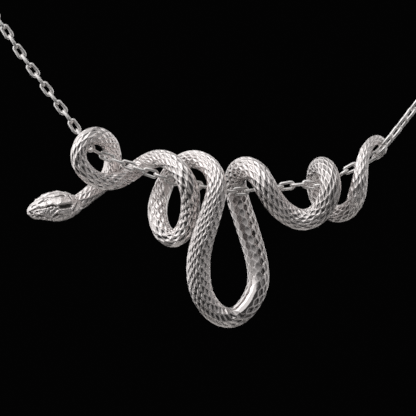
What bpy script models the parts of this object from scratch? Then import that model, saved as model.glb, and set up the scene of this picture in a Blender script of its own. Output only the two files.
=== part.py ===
"""A silver necklace: a cast snake that coils round a fine cable chain, with a clasp behind the neck.

Metres, +Z up. The origin is at the clasp, where the chain lies on the back of the neck.
The snake hangs at the front, on the -Y side, and its head is at the -X end.
"""

import math

import bmesh
import bpy
import numpy as np
from mathutils import Matrix, Vector

MM = 0.001

# The snake casting
PENDANT_WIDTH = 53.5 * MM     # what the column "across" is a share of
PENDANT_HEIGHT = 30.0 * MM    # what the column "up" is a share of
COIL_DEPTH = 7.6 * MM         # what the column "depth" is a share of
BODY_THICKNESS = 3.74 * MM    # the body at its thickest
SCALE_LENGTH = 2.0 * MM       # one lozenge of the raised net, along the body
SCALE_RELIEF = 0.10 * MM      # how far the net stands above its lozenges
DEEPEST_RELIEF = 0.12         # the most that may be, as a share of the body's radius
BODY_COLUMNS = 16

# The head
HEAD_LENGTH = 8.2 * MM
HEAD_WIDTH = 5.3 * MM
HEAD_HEIGHT = 4.35 * MM
HEAD_RELIEF = 0.36 * MM
FEATURE_POWER = 0.5           # the lower, the steeper a feature of the head starts and ends
HEAD_ROLL = math.radians(28)  # the crown leans this far towards the front
HEAD_RING = 0.42 * MM
SNOUT_TIP = 0.1               # how far the snout's point lies before its first ring, in HEAD_RINGs
EYE_SIZE = 0.95 * MM
EYE_DIVISIONS = 2

# The cable chain
LINK_LENGTH = 2.6 * MM
LINK_WIDTH = 1.47 * MM
WIRE = 0.5 * MM
LINK_BITE = 0.14 * MM         # how far neighbours bed into each other
LINK_SIDES = 12
WIRE_SIDES = 5
FIRST_LINK = -12              # counted from the last open link before the snake's first loop
LAST_LINK = 35
TURNED_FROM = 26              # from here on the links turn over to one side
TURNED_BY = 30
LINK_TURN = math.radians(45)

# How the necklace hangs
NECK_REACH = 103.0 * MM       # from the clasp forward to the snake
NECK_DROP = 97.0 * MM         # from the clasp down to the chain in the snake
NECK_HALF_WIDTH = 62.8 * MM
SWING_AXIS_FORWARD = 0.23 * MM  # the snake's weight lies this far in front of the chain
CLEARANCE = 0.3 * MM
HIDDEN_POINTS = 46            # along each hidden half of the chain
HIDDEN_ROUNDING = 2           # the hidden halves' bevel resolution

# The clasp
CLASP_RING = 5.6 * MM
CLASP_TUBE = 1.3 * MM
CLASP_EYE = 2.2 * MM
CLASP_EYE_WIRE = 0.6 * MM
CLASP_EYE_BITE = 1.5          # how far each eye beds into the ring, in thicknesses of its wire
CLASP_RING_SIDES = 24
CLASP_TUBE_SIDES = 8
CLASP_EYE_SIDES = 12
CLASP_EYE_WIRE_SIDES = 6

# The silver's colours, and how rough each surface is
CAST_SILVER = (0.78, 0.76, 0.73)
DRAWN_SILVER = (0.86, 0.85, 0.83)
CAST_ROUGHNESS = 0.32
CHAIN_ROUGHNESS = 0.2
CLASP_ROUGHNESS = 0.18

# The snake's middle line from its snout to its tail tip, one row for each place chosen on it.
# Columns: across, up, depth (towards the back) and thick, as shares of the sizes above.
SNAKE_ROUTE = [
    # Head and neck
    (-0.589, -0.233, -0.05, 0.70), (-0.565, -0.230, -0.04, 0.70), (-0.541, -0.217, -0.01, 0.70),
    (-0.519, -0.210, 0.01, 0.70), (-0.496, -0.205, 0.04, 0.70), (-0.474, -0.201, 0.08, 0.70),
    (-0.457, -0.197, 0.12, 0.70), (-0.440, -0.182, 0.17, 0.69), (-0.412, -0.140, 0.25, 0.70),
    (-0.379, -0.095, 0.39, 0.71), (-0.357, -0.035, 0.47, 0.72), (-0.350, 0.035, 0.43, 0.74),
    # First loop: over the chain, down in front of it and behind it again
    (-0.357, 0.102, 0.22, 0.74), (-0.380, 0.140, -0.07, 0.75), (-0.401, 0.145, -0.26, 0.75),
    (-0.424, 0.125, -0.38, 0.71), (-0.439, 0.080, -0.41, 0.66), (-0.442, 0.025, -0.39, 0.69),
    (-0.425, -0.030, -0.33, 0.71), (-0.398, -0.070, -0.20, 0.72), (-0.362, -0.085, -0.05, 0.73),
    (-0.328, -0.072, 0.09, 0.74), (-0.303, -0.045, 0.25, 0.74), (-0.276, -0.010, 0.33, 0.75),
    # Second loop, which hangs below the chain
    (-0.250, 0.018, 0.26, 0.75), (-0.219, 0.035, 0.07, 0.75), (-0.185, 0.015, -0.20, 0.77),
    (-0.156, -0.037, -0.38, 0.79), (-0.137, -0.100, -0.43, 0.81), (-0.130, -0.160, -0.33, 0.81),
    (-0.131, -0.220, -0.20, 0.80), (-0.137, -0.280, -0.13, 0.80), (-0.150, -0.334, -0.08, 0.79),
    (-0.168, -0.364, -0.03, 0.79), (-0.190, -0.365, 0.03, 0.78), (-0.208, -0.337, 0.08, 0.80),
    (-0.220, -0.285, 0.16, 0.81), (-0.224, -0.215, 0.30, 0.83), (-0.214, -0.140, 0.42, 0.81),
    (-0.193, -0.060, 0.47, 0.79), (-0.165, 0.000, 0.41, 0.78),
    # Long loop, in front of the chain on its left and behind it on its right
    (-0.136, 0.028, 0.22, 0.76), (-0.107, 0.025, -0.03, 0.78), (-0.079, -0.005, -0.28, 0.80),
    (-0.060, -0.060, -0.43, 0.81), (-0.057, -0.125, -0.50, 0.86), (-0.067, -0.200, -0.49, 0.90),
    (-0.081, -0.285, -0.43, 0.94), (-0.097, -0.375, -0.37, 0.96), (-0.107, -0.460, -0.29, 0.98),
    (-0.108, -0.545, -0.21, 1.00), (-0.101, -0.625, -0.14, 0.96), (-0.081, -0.700, -0.08, 0.92),
    (-0.048, -0.753, -0.04, 0.88), (-0.015, -0.765, 0.00, 0.84), (0.018, -0.732, 0.05, 0.87),
    (0.045, -0.665, 0.11, 0.89), (0.059, -0.600, 0.16, 0.91), (0.060, -0.535, 0.21, 0.92),
    (0.053, -0.455, 0.28, 0.93), (0.036, -0.350, 0.37, 0.94), (0.020, -0.260, 0.45, 0.95),
    (0.006, -0.185, 0.50, 0.94), (-0.003, -0.115, 0.50, 0.93), (-0.004, -0.060, 0.37, 0.92),
    # Hump, then down in front of the chain and up again
    (0.008, -0.022, 0.13, 0.92), (0.032, -0.015, -0.16, 0.93), (0.059, -0.050, -0.41, 0.93),
    (0.080, -0.115, -0.50, 0.94), (0.104, -0.185, -0.45, 0.92), (0.137, -0.242, -0.34, 0.90),
    (0.182, -0.275, -0.32, 0.89), (0.221, -0.250, -0.37, 0.89), (0.247, -0.190, -0.43, 0.89),
    (0.259, -0.125, -0.47, 0.89), (0.257, -0.065, -0.39, 0.86),
    # Last coil
    (0.248, -0.020, -0.21, 0.84), (0.236, -0.005, 0.00, 0.81), (0.227, -0.022, 0.22, 0.80),
    (0.223, -0.065, 0.39, 0.80), (0.224, -0.115, 0.46, 0.79), (0.233, -0.170, 0.42, 0.78),
    (0.252, -0.220, 0.32, 0.76), (0.280, -0.245, 0.16, 0.75), (0.311, -0.228, -0.04, 0.73),
    (0.331, -0.182, -0.20, 0.69), (0.340, -0.120, -0.32, 0.65),
    # Tail, which hooks over the chain
    (0.345, -0.060, -0.36, 0.58), (0.349, 0.000, -0.32, 0.51), (0.357, 0.060, -0.21, 0.47),
    (0.374, 0.107, -0.03, 0.44), (0.393, 0.129, 0.16, 0.42), (0.411, 0.113, 0.30, 0.41),
    (0.414, 0.077, 0.32, 0.37), (0.401, 0.048, 0.33, 0.33), (0.380, 0.033, 0.32, 0.19),
]

# The head's sections, from the snout to the neck.
# Columns: along, wide and tall, as shares of the head's length, width and height.
HEAD_SECTIONS = [
    (0.00, 0.12, 0.14),
    (0.03, 0.25, 0.27),
    (0.07, 0.38, 0.42),
    (0.17, 0.56, 0.57),
    (0.32, 0.79, 0.78),
    (0.45, 0.94, 0.93),
    (0.61, 1.00, 1.00),
    (0.77, 0.86, 0.88),
    (0.88, 0.63, 0.72),
    (1.00, 0.495, 0.602),
]

# What is raised or sunk on each side of the head.
# Columns: degrees from the crown, from and to as shares of its length, raise as a share of the relief.
HEAD_FEATURES = [
    (0.0, 0.30, 0.80, -0.3),
    (22.5, 0.12, 0.75, 0.2),
    (45.0, 0.08, 0.66, 0.9),
    (67.5, 0.10, 0.40, -0.6),
    (67.5, 0.58, 0.84, -1.2),
    (90.0, 0.10, 0.80, 0.3),
    (112.5, 0.08, 0.74, -0.9),
    (135.0, 0.10, 0.70, 0.3),
]
EYE_PLACE = (0.43, 64.0)      # along the head, and degrees from the crown

# The chain's route through the snake, seen from the front.
# Columns: across and up, as shares of the pendant's width and height.
FRONT_ROUTE = [
    (-0.664, 0.715), (-0.608, 0.562), (-0.552, 0.425), (-0.496, 0.291), (-0.455, 0.194),
    (-0.435, 0.135), (-0.412, 0.087), (-0.398, 0.065), (-0.384, 0.055), (-0.361, 0.042),
    (-0.340, 0.018), (-0.309, 0.003), (-0.279, -0.017), (-0.243, -0.040), (-0.212, -0.055),
    (-0.186, -0.075), (-0.149, -0.090), (-0.111, -0.100), (-0.087, -0.113), (-0.048, -0.125),
    (-0.012, -0.132), (0.008, -0.132), (0.034, -0.127), (0.087, -0.117), (0.137, -0.105),
    (0.170, -0.098), (0.202, -0.096), (0.233, -0.105), (0.261, -0.087), (0.282, -0.059),
    (0.297, -0.039), (0.317, -0.018), (0.345, 0.005), (0.373, 0.033), (0.395, 0.062),
    (0.412, 0.095), (0.429, 0.130), (0.447, 0.171), (0.468, 0.219), (0.489, 0.268),
    (0.505, 0.305),
]
COUNT_FROM = 4                # the place in this route where link 0 lies
RIGHT_RISE = [(0.576, 0.463), (0.664, 0.687)]

# The chain's route round the neck, the same on both sides, from the front to the clasp.
# Columns: out, forward and down, as shares of the half width, the reach and the drop.
NECK_ROUTE = [
    (0.658, 0.989, 0.708),
    (0.761, 0.949, 0.599),
    (0.868, 0.874, 0.470),
    (0.955, 0.757, 0.342),
    (1.000, 0.620, 0.228),
    (0.984, 0.500, 0.152),
    (0.908, 0.364, 0.088),
    (0.772, 0.229, 0.046),
    (0.589, 0.112, 0.021),
    (0.358, 0.034, 0.007),
    (0.180, 0.007, 0.001),
    (0.000, 0.000, 0.000),
]

STEP = 0.1 * MM               # how finely the smooth lines are followed
SAMPLES = 24                  # points worked out between two rows of a route
SMOOTHING = 60                # passes that ease the body's bends
LOOK_ALONG = 2 * STEP         # how far ahead and behind the way along a line is read


def clear_scene():
    for item in list(bpy.data.objects):
        bpy.data.objects.remove(item, do_unlink=True)


def metal(name, colour, roughness):
    material = bpy.data.materials.new(name)
    material.use_nodes = True
    shader = material.node_tree.nodes["Principled BSDF"]
    shader.inputs["Base Color"].default_value = (*colour, 1.0)
    shader.inputs["Metallic"].default_value = 1.0
    shader.inputs["Roughness"].default_value = roughness
    return material


def smooth_line(rows):
    """A smooth curve through the rows, read every STEP along it. Its first three columns are places."""
    rows = np.array(rows, float)
    ends = [2 * rows[:1] - rows[1:2], rows, 2 * rows[-1:] - rows[-2:-1]]
    padded = np.concatenate(ends)
    pieces = []
    for i in range(1, len(padded) - 2):
        p0, p1, p2, p3 = padded[i - 1:i + 3]
        gaps = [math.sqrt(np.linalg.norm((b - a)[:3])) for a, b in ((p0, p1), (p1, p2), (p2, p3))]
        t1 = gaps[0]
        t2 = t1 + gaps[1]
        t3 = t2 + gaps[2]
        t = np.linspace(t1, t2, SAMPLES, endpoint=False)[:, None]
        a1 = (t1 - t) / t1 * p0 + t / t1 * p1
        a2 = (t2 - t) / (t2 - t1) * p1 + (t - t1) / (t2 - t1) * p2
        a3 = (t3 - t) / (t3 - t2) * p2 + (t - t2) / (t3 - t2) * p3
        b1 = (t2 - t) / t2 * a1 + t / t2 * a2
        b2 = (t3 - t) / (t3 - t1) * a2 + (t - t1) / (t3 - t1) * a3
        pieces.append((t2 - t) / (t2 - t1) * b1 + (t - t1) / (t2 - t1) * b2)
    pieces.append(rows[-1:])
    line = np.concatenate(pieces)
    reach = distances(line)
    return read_line(line, np.linspace(0, reach[-1], int(reach[-1] / STEP) + 1))


def distances(line):
    steps = np.linalg.norm(np.diff(line[:, :3], axis=0), axis=1)
    return np.concatenate([[0], np.cumsum(steps)])


def read_line(line, places):
    """The line's columns at these distances along it."""
    reach = distances(line)
    return np.stack([np.interp(places, reach, column) for column in line.T], axis=1)


def front_point(across, up, depth=0.0):
    x = across * PENDANT_WIDTH
    y = depth * COIL_DEPTH - NECK_REACH
    z = up * PENDANT_HEIGHT - NECK_DROP
    return (x, y, z)


def snake_line():
    rows = [(*front_point(a, u, d), thick * BODY_THICKNESS / 2) for a, u, d, thick in SNAKE_ROUTE]
    line = smooth_line(rows)
    for _ in range(SMOOTHING):
        line[1:-1] = (line[:-2] + 2 * line[1:-1] + line[2:]) / 4
    return line


def ring_frames(line, places, first_up):
    """At each place: its row, the way along, and an up and a side that turn as little as they can."""
    rows = read_line(line, places)
    ahead = read_line(line, np.minimum(places + LOOK_ALONG, distances(line)[-1]))[:, :3]
    behind = read_line(line, np.maximum(places - LOOK_ALONG, 0))[:, :3]
    up = Vector(first_up)
    frames = []
    for row, a, b in zip(rows, ahead, behind):
        along = Vector(a - b).normalized()
        up = (up - along * up.dot(along)).normalized()
        frames.append((row, along, up, along.cross(up)))
    return frames


def head_size(share):
    along, wide, tall = np.array(HEAD_SECTIONS).T
    half_width = np.interp(share, along, wide) * HEAD_WIDTH / 2
    half_height = np.interp(share, along, tall) * HEAD_HEIGHT / 2
    return half_width, half_height


def head_relief(share, degrees):
    """How far the head's surface stands out here. Both sides are alike."""
    away = min(degrees, 360 - degrees)
    raised = 0.0
    for place, start, end, raise_share in HEAD_FEATURES:
        if abs(away - place) < 1 and start < share < end:
            rise = math.sin(math.pi * (share - start) / (end - start))
            raised += raise_share * rise ** FEATURE_POWER
    return raised * HEAD_RELIEF


def ring_points(frame, share, index):
    """One ring round the body. Past the head its points stand out and lie back by turns."""
    row, along, up, side = frame
    centre = Vector(row[:3])
    points = []
    for column in range(BODY_COLUMNS):
        angle = 2 * math.pi * column / BODY_COLUMNS
        out = up * math.cos(angle) + side * math.sin(angle)
        if share < 1:
            half_width, half_height = head_size(share)
            place = up * half_height * math.cos(angle) + side * half_width * math.sin(angle)
            point = place + out * head_relief(share, math.degrees(angle))
        else:
            lies_back = (column + index) % 2
            point = out * (row[3] - lies_back * min(SCALE_RELIEF, DEEPEST_RELIEF * row[3]))
        points.append(centre + point)
    return points


def make_object(name, shape):
    """Turns the shape into an object's mesh, with its faces pointing out."""
    bmesh.ops.recalc_face_normals(shape, faces=shape.faces)
    mesh = bpy.data.meshes.new(name)
    shape.to_mesh(mesh)
    shape.free()
    item = bpy.data.objects.new(name, mesh)
    bpy.context.collection.objects.link(item)
    return item


def skin_over(name, rings, tips):
    """A closed skin over the rings, with a point at each end. Each face is split along the raised net."""
    shape = bmesh.new()
    layers = [[shape.verts.new(point) for point in ring] for ring in rings]
    count = len(layers[0])
    for j in range(len(layers) - 1):
        for i in range(count):
            near, next_near = layers[j][i], layers[j][(i + 1) % count]
            far, next_far = layers[j + 1][i], layers[j + 1][(i + 1) % count]
            if (i + j) % 2 == 0:
                shape.faces.new((near, next_near, next_far))
                shape.faces.new((near, next_far, far))
            else:
                shape.faces.new((near, next_near, far))
                shape.faces.new((next_near, next_far, far))
    for layer, tip in zip((layers[0], layers[-1]), tips):
        point = shape.verts.new(tip)
        for i in range(count):
            shape.faces.new((layer[i], layer[(i + 1) % count], point))
    return make_object(name, shape)


def join_solids(item, others):
    """Fuses the others to the item with Boolean unions, and removes them."""
    for other in others:
        fuse = item.modifiers.new("fuse", "BOOLEAN")
        fuse.operation = "UNION"
        fuse.object = other
    bpy.context.view_layer.update()
    evaluated = item.evaluated_get(bpy.context.evaluated_depsgraph_get())
    fused = bpy.data.meshes.new_from_object(evaluated)
    item.modifiers.clear()
    item.data = fused
    for other in others:
        bpy.data.objects.remove(other, do_unlink=True)


def crown_way():
    return (0.0, -math.sin(HEAD_ROLL), math.cos(HEAD_ROLL))


def swing_point():
    """A point on the line along X that the snake swings about."""
    return Vector((0, -NECK_REACH - SWING_AXIS_FORWARD, -NECK_DROP))


def make_snake(material):
    line = snake_line()
    length = distances(line)[-1]
    head_places = np.linspace(0, HEAD_LENGTH, round(HEAD_LENGTH / HEAD_RING), endpoint=False)
    body_rings = round((length - HEAD_LENGTH) / (SCALE_LENGTH / 2))
    body_places = np.linspace(HEAD_LENGTH, length, body_rings + 1)[:-1]
    places = np.concatenate([head_places, body_places])
    frames = ring_frames(line, places, crown_way())
    rings = [ring_points(frame, place / HEAD_LENGTH, index)
             for index, (frame, place) in enumerate(zip(frames, places))]
    snout = Vector(line[0, :3]) - frames[0][1] * SNOUT_TIP * HEAD_RING
    tips = (snout, Vector(line[-1, :3]))
    snake = skin_over("snake", rings, tips)
    snake.data.materials.append(material)
    join_solids(snake, [make_eye(line, turn) for turn in (-1, 1)])
    snake.data.transform(Matrix.Translation(-swing_point()))
    snake.location = swing_point()


def make_eye(line, turn):
    """A round eye that stands out of its socket, on the side that turn gives."""
    share, degrees = EYE_PLACE
    row, along, up, side = ring_frames(line, np.array([share * HEAD_LENGTH]), crown_way())[0]
    half_width, half_height = head_size(share)
    angle = turn * math.radians(degrees)
    place = Vector(row[:3]) + up * half_height * math.cos(angle) + side * half_width * math.sin(angle)
    shape = bmesh.new()
    bmesh.ops.create_icosphere(shape, subdivisions=EYE_DIVISIONS, radius=EYE_SIZE / 2,
                               matrix=Matrix.Translation(place))
    return make_object("eye", shape)


def neck_points(side):
    points = []
    for out, forward, down in NECK_ROUTE:
        points.append((side * out * NECK_HALF_WIDTH, -forward * NECK_REACH, -down * NECK_DROP))
    return points


def chain_line():
    """The whole chain's middle line, from the clasp's left side round the front to its right side."""
    front = [front_point(across, up) for across, up in FRONT_ROUTE + RIGHT_RISE]
    return smooth_line(neck_points(-1)[::-1] + front + neck_points(1))


def link_pitch():
    return LINK_LENGTH - 2 * WIRE + LINK_BITE


def link_turn(number):
    """Each link is a quarter turn from the last, and the far ones turn over by LINK_TURN as well."""
    over = (number - TURNED_FROM) / (TURNED_BY - TURNED_FROM)
    return math.pi / 2 * (number % 2) + LINK_TURN * min(max(over, 0), 1)


def count_place(line):
    """How far along the chain link 0 lies."""
    start = np.array(front_point(*FRONT_ROUTE[COUNT_FROM]))
    return distances(line)[np.argmin(np.linalg.norm(line - start, axis=1))]


def add_link(shape, line, number):
    """One oval link: a ring of wire with straight sides."""
    centre_place = count_place(line) + number * link_pitch()
    ends = read_line(line, np.array([centre_place - link_pitch() / 2, centre_place + link_pitch() / 2]))
    along = Vector(ends[1] - ends[0]).normalized()
    centre = Vector((ends[0] + ends[1]) / 2)
    flat = along.cross(Vector((0, -1, 0))).normalized()
    wide = Matrix.Rotation(link_turn(number), 3, along) @ flat
    thick = along.cross(wide)
    bend = (LINK_WIDTH - WIRE) / 2
    straight = (LINK_LENGTH - LINK_WIDTH) / 2
    rings = []
    for i in range(LINK_SIDES):
        angle = 2 * math.pi * (i + 0.5) / LINK_SIDES
        out = along * math.cos(angle) + wide * math.sin(angle)
        middle = centre + out * bend + along * math.copysign(straight, math.cos(angle))
        ring = []
        for k in range(WIRE_SIDES):
            turn = 2 * math.pi * k / WIRE_SIDES
            ring.append(shape.verts.new(middle + (out * math.cos(turn) + thick * math.sin(turn)) * WIRE / 2))
        rings.append(ring)
    close_wire(shape, rings)


def close_wire(shape, rings):
    """Joins each ring of points to the next, and the last to the first."""
    for ring, after in zip(rings, rings[1:] + rings[:1]):
        for k in range(len(ring)):
            m = (k + 1) % len(ring)
            shape.faces.new((ring[k], after[k], after[m], ring[m]))


def link_group(name, line, numbers):
    shape = bmesh.new()
    for number in numbers:
        add_link(shape, line, number)
    return make_object(name, shape)


def make_front_chain(line, material):
    """The links that show. Every second link is one group, which touches only the other group."""
    chain = link_group("chain_front", line, range(FIRST_LINK, LAST_LINK + 1, 2))
    chain.data.materials.append(material)
    join_solids(chain, [link_group("between", line, range(FIRST_LINK + 1, LAST_LINK + 1, 2))])


def make_hidden_chain(name, line, start, end, material):
    """A plain tube along the chain, with a flat cap at each end."""
    points = read_line(line, np.linspace(start, end, HIDDEN_POINTS))
    curve = bpy.data.curves.new(name, "CURVE")
    curve.dimensions = "3D"
    curve.bevel_depth = LINK_WIDTH / 2
    curve.bevel_resolution = HIDDEN_ROUNDING
    curve.use_fill_caps = True
    spline = curve.splines.new("POLY")
    spline.points.add(len(points) - 1)
    for point, place in zip(spline.points, points):
        point.co = (*place, 1.0)
    curve.materials.append(material)
    bpy.context.collection.objects.link(bpy.data.objects.new(name, curve))


def clasp_half_length():
    return CLASP_RING / 2 + CLASP_EYE - CLASP_EYE_BITE * CLASP_EYE_WIRE


def round_ring(name, outer, wire, centre_x, sides, wire_sides):
    """A round ring that lies in the plane across the back of the neck."""
    rings = []
    shape = bmesh.new()
    for i in range(sides):
        angle = 2 * math.pi * i / sides
        out = Vector((math.cos(angle), 0, math.sin(angle)))
        middle = Vector((centre_x, 0, 0)) + out * (outer - wire) / 2
        ring = []
        for k in range(wire_sides):
            turn = 2 * math.pi * k / wire_sides
            away = out * math.cos(turn) + Vector((0, math.sin(turn), 0))
            ring.append(shape.verts.new(middle + away * wire / 2))
        rings.append(ring)
    close_wire(shape, rings)
    return make_object(name, shape)


def make_clasp(material):
    """A round spring ring with an eye at each side, plain and closed."""
    clasp = round_ring("clasp", CLASP_RING, CLASP_TUBE, 0, CLASP_RING_SIDES, CLASP_TUBE_SIDES)
    clasp.data.materials.append(material)
    middle = clasp_half_length() - CLASP_EYE / 2
    eyes = [round_ring("side_eye", CLASP_EYE, CLASP_EYE_WIRE, side * middle, CLASP_EYE_SIDES,
                       CLASP_EYE_WIRE_SIDES) for side in (-1, 1)]
    join_solids(clasp, eyes)


def build():
    clear_scene()
    make_snake(metal("cast_silver", CAST_SILVER, CAST_ROUGHNESS))
    line = chain_line()
    chain_silver = metal("chain_silver", DRAWN_SILVER, CHAIN_ROUGHNESS)
    make_front_chain(line, chain_silver)
    half_link = LINK_LENGTH / 2
    first_end = count_place(line) + FIRST_LINK * link_pitch() - half_link - CLEARANCE
    last_end = count_place(line) + LAST_LINK * link_pitch() + half_link + CLEARANCE
    hidden_end = clasp_half_length() + CLEARANCE
    total = distances(line)[-1]
    make_hidden_chain("chain_left", line, hidden_end, first_end, chain_silver)
    make_hidden_chain("chain_right", line, last_end, total - hidden_end, chain_silver)
    make_clasp(metal("clasp_silver", DRAWN_SILVER, CLASP_ROUGHNESS))


build()
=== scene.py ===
"""A silver snake necklace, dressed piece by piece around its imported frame."""

import math

import bpy
import numpy as np
from mathutils import Matrix, Vector, noise


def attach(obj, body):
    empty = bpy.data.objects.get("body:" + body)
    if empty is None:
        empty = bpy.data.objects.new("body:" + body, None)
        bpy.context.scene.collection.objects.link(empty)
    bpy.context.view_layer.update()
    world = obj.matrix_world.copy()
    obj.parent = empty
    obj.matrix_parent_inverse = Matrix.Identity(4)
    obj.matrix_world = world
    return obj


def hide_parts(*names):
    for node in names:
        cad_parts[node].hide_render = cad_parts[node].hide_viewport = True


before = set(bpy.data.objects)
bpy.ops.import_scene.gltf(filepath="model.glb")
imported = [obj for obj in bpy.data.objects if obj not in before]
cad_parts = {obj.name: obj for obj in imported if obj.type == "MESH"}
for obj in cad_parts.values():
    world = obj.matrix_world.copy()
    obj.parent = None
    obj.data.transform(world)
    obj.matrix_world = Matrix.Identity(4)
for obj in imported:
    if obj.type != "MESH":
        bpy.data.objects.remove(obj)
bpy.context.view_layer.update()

# Camera
# The photograph is taken straight from the front with a long lens. The chain's front lies one
# reach forward of the clasp, and the picture is 416 pixels of 0.15 mm wide there.
MM = 0.001
PIXEL = 0.15 * MM
PICTURE_WIDTH = 416 * PIXEL
REACH = 103.0 * MM              # from the clasp forward to the chain's front
DROP = 97.0 * MM                # and down to the level that the pendant's heights count from
PICTURE_MIDDLE = (-4.35 * MM, -6.45 * MM)       # the picture's middle, right and up from there
CAMERA_DISTANCE = 380 * MM
SENSOR = 36.0

camera_data = bpy.data.cameras.new("camera")
camera_data.sensor_width = SENSOR
camera_data.lens = SENSOR * CAMERA_DISTANCE / PICTURE_WIDTH
camera_data.clip_start = 10 * MM
camera_data.clip_end = 20.0
camera = bpy.data.objects.new("camera", camera_data)
bpy.context.collection.objects.link(camera)
camera.location = (PICTURE_MIDDLE[0], -REACH - CAMERA_DISTANCE, PICTURE_MIDDLE[1] - DROP)
camera.rotation_euler = (math.radians(90), 0, 0)
bpy.context.scene.camera = camera

# Snake body
# One silver casting, a rope of a body covered in long lozenge scales. Each is a sunken plate in a
# raised rim, and the belly, which faces the chain, is nearly smooth. It was carved in wax and cast,
# then blackened, and polished where hands and cloth reach. The black in its hollows is partly that
# oxide and partly painted shade and painted reflection.
PENDANT_WIDTH = 53.5 * MM
PENDANT_HEIGHT = 30.0 * MM
COIL_DEPTH = 7.6 * MM
BODY_THICKNESS = 3.74 * MM
STEP = 0.1 * MM                 # every smooth line is read this finely
SAMPLES = 24                    # points on its curve from one row of a route to the next
LINE_ROUNDS = 60                # how many times the snake's line is evened out
TURN_ROUNDS = 400               # and the belly's turn about it
CROWN_LEAN = math.radians(28)   # the head's crown leans this far to the front

# The snake's middle line from its snout to its tail tip.
# Columns: across, up, depth (towards the back) and thick, as shares of the sizes above.
SNAKE_ROUTE = [
    # Head and neck
    (-0.589, -0.233, -0.05, 0.70), (-0.565, -0.230, -0.04, 0.70), (-0.541, -0.217, -0.01, 0.70),
    (-0.519, -0.210, 0.01, 0.70), (-0.496, -0.205, 0.04, 0.70), (-0.474, -0.201, 0.08, 0.70),
    (-0.457, -0.197, 0.12, 0.70), (-0.440, -0.182, 0.17, 0.69), (-0.412, -0.140, 0.25, 0.70),
    (-0.379, -0.095, 0.39, 0.71), (-0.357, -0.035, 0.47, 0.72), (-0.350, 0.035, 0.43, 0.74),
    # First loop: over the chain, down in front of it and behind it again
    (-0.357, 0.102, 0.22, 0.74), (-0.380, 0.140, -0.07, 0.75), (-0.401, 0.145, -0.26, 0.75),
    (-0.424, 0.125, -0.38, 0.71), (-0.439, 0.080, -0.41, 0.66), (-0.442, 0.025, -0.39, 0.69),
    (-0.425, -0.030, -0.33, 0.71), (-0.398, -0.070, -0.20, 0.72), (-0.362, -0.085, -0.05, 0.73),
    (-0.328, -0.072, 0.09, 0.74), (-0.303, -0.045, 0.25, 0.74), (-0.276, -0.010, 0.33, 0.75),
    # Second loop, which hangs below the chain
    (-0.250, 0.018, 0.26, 0.75), (-0.219, 0.035, 0.07, 0.75), (-0.185, 0.015, -0.20, 0.77),
    (-0.156, -0.037, -0.38, 0.79), (-0.137, -0.100, -0.43, 0.81), (-0.130, -0.160, -0.33, 0.81),
    (-0.131, -0.220, -0.20, 0.80), (-0.137, -0.280, -0.13, 0.80), (-0.150, -0.334, -0.08, 0.79),
    (-0.168, -0.364, -0.03, 0.79), (-0.190, -0.365, 0.03, 0.78), (-0.208, -0.337, 0.08, 0.80),
    (-0.220, -0.285, 0.16, 0.81), (-0.224, -0.215, 0.30, 0.83), (-0.214, -0.140, 0.42, 0.81),
    (-0.193, -0.060, 0.47, 0.79), (-0.165, 0.000, 0.41, 0.78),
    # Long loop, in front of the chain on its left and behind it on its right
    (-0.136, 0.028, 0.22, 0.76), (-0.107, 0.025, -0.03, 0.78), (-0.079, -0.005, -0.28, 0.80),
    (-0.060, -0.060, -0.43, 0.81), (-0.057, -0.125, -0.50, 0.86), (-0.067, -0.200, -0.49, 0.90),
    (-0.081, -0.285, -0.43, 0.94), (-0.097, -0.375, -0.37, 0.96), (-0.107, -0.460, -0.29, 0.98),
    (-0.108, -0.545, -0.21, 1.00), (-0.101, -0.625, -0.14, 0.96), (-0.081, -0.700, -0.08, 0.92),
    (-0.048, -0.753, -0.04, 0.88), (-0.015, -0.765, 0.00, 0.84), (0.018, -0.732, 0.05, 0.87),
    (0.045, -0.665, 0.11, 0.89), (0.059, -0.600, 0.16, 0.91), (0.060, -0.535, 0.21, 0.92),
    (0.053, -0.455, 0.28, 0.93), (0.036, -0.350, 0.37, 0.94), (0.020, -0.260, 0.45, 0.95),
    (0.006, -0.185, 0.50, 0.94), (-0.003, -0.115, 0.50, 0.93), (-0.004, -0.060, 0.37, 0.92),
    # Hump, then down in front of the chain and up again
    (0.008, -0.022, 0.13, 0.92), (0.032, -0.015, -0.16, 0.93), (0.059, -0.050, -0.41, 0.93),
    (0.080, -0.115, -0.50, 0.94), (0.104, -0.185, -0.45, 0.92), (0.137, -0.242, -0.34, 0.90),
    (0.182, -0.275, -0.32, 0.89), (0.221, -0.250, -0.37, 0.89), (0.247, -0.190, -0.43, 0.89),
    (0.259, -0.125, -0.47, 0.89), (0.257, -0.065, -0.39, 0.86),
    # Last coil
    (0.248, -0.020, -0.21, 0.84), (0.236, -0.005, 0.00, 0.81), (0.227, -0.022, 0.22, 0.80),
    (0.223, -0.065, 0.39, 0.80), (0.224, -0.115, 0.46, 0.79), (0.233, -0.170, 0.42, 0.78),
    (0.252, -0.220, 0.32, 0.76), (0.280, -0.245, 0.16, 0.75), (0.311, -0.228, -0.04, 0.73),
    (0.331, -0.182, -0.20, 0.69), (0.340, -0.120, -0.32, 0.65),
    # Tail, which hooks over the chain
    (0.345, -0.060, -0.36, 0.58), (0.349, 0.000, -0.32, 0.51), (0.357, 0.060, -0.21, 0.47),
    (0.374, 0.107, -0.03, 0.44), (0.393, 0.129, 0.16, 0.42), (0.411, 0.113, 0.30, 0.41),
    (0.414, 0.077, 0.32, 0.37), (0.401, 0.048, 0.33, 0.33), (0.380, 0.033, 0.32, 0.19),
]

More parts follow.
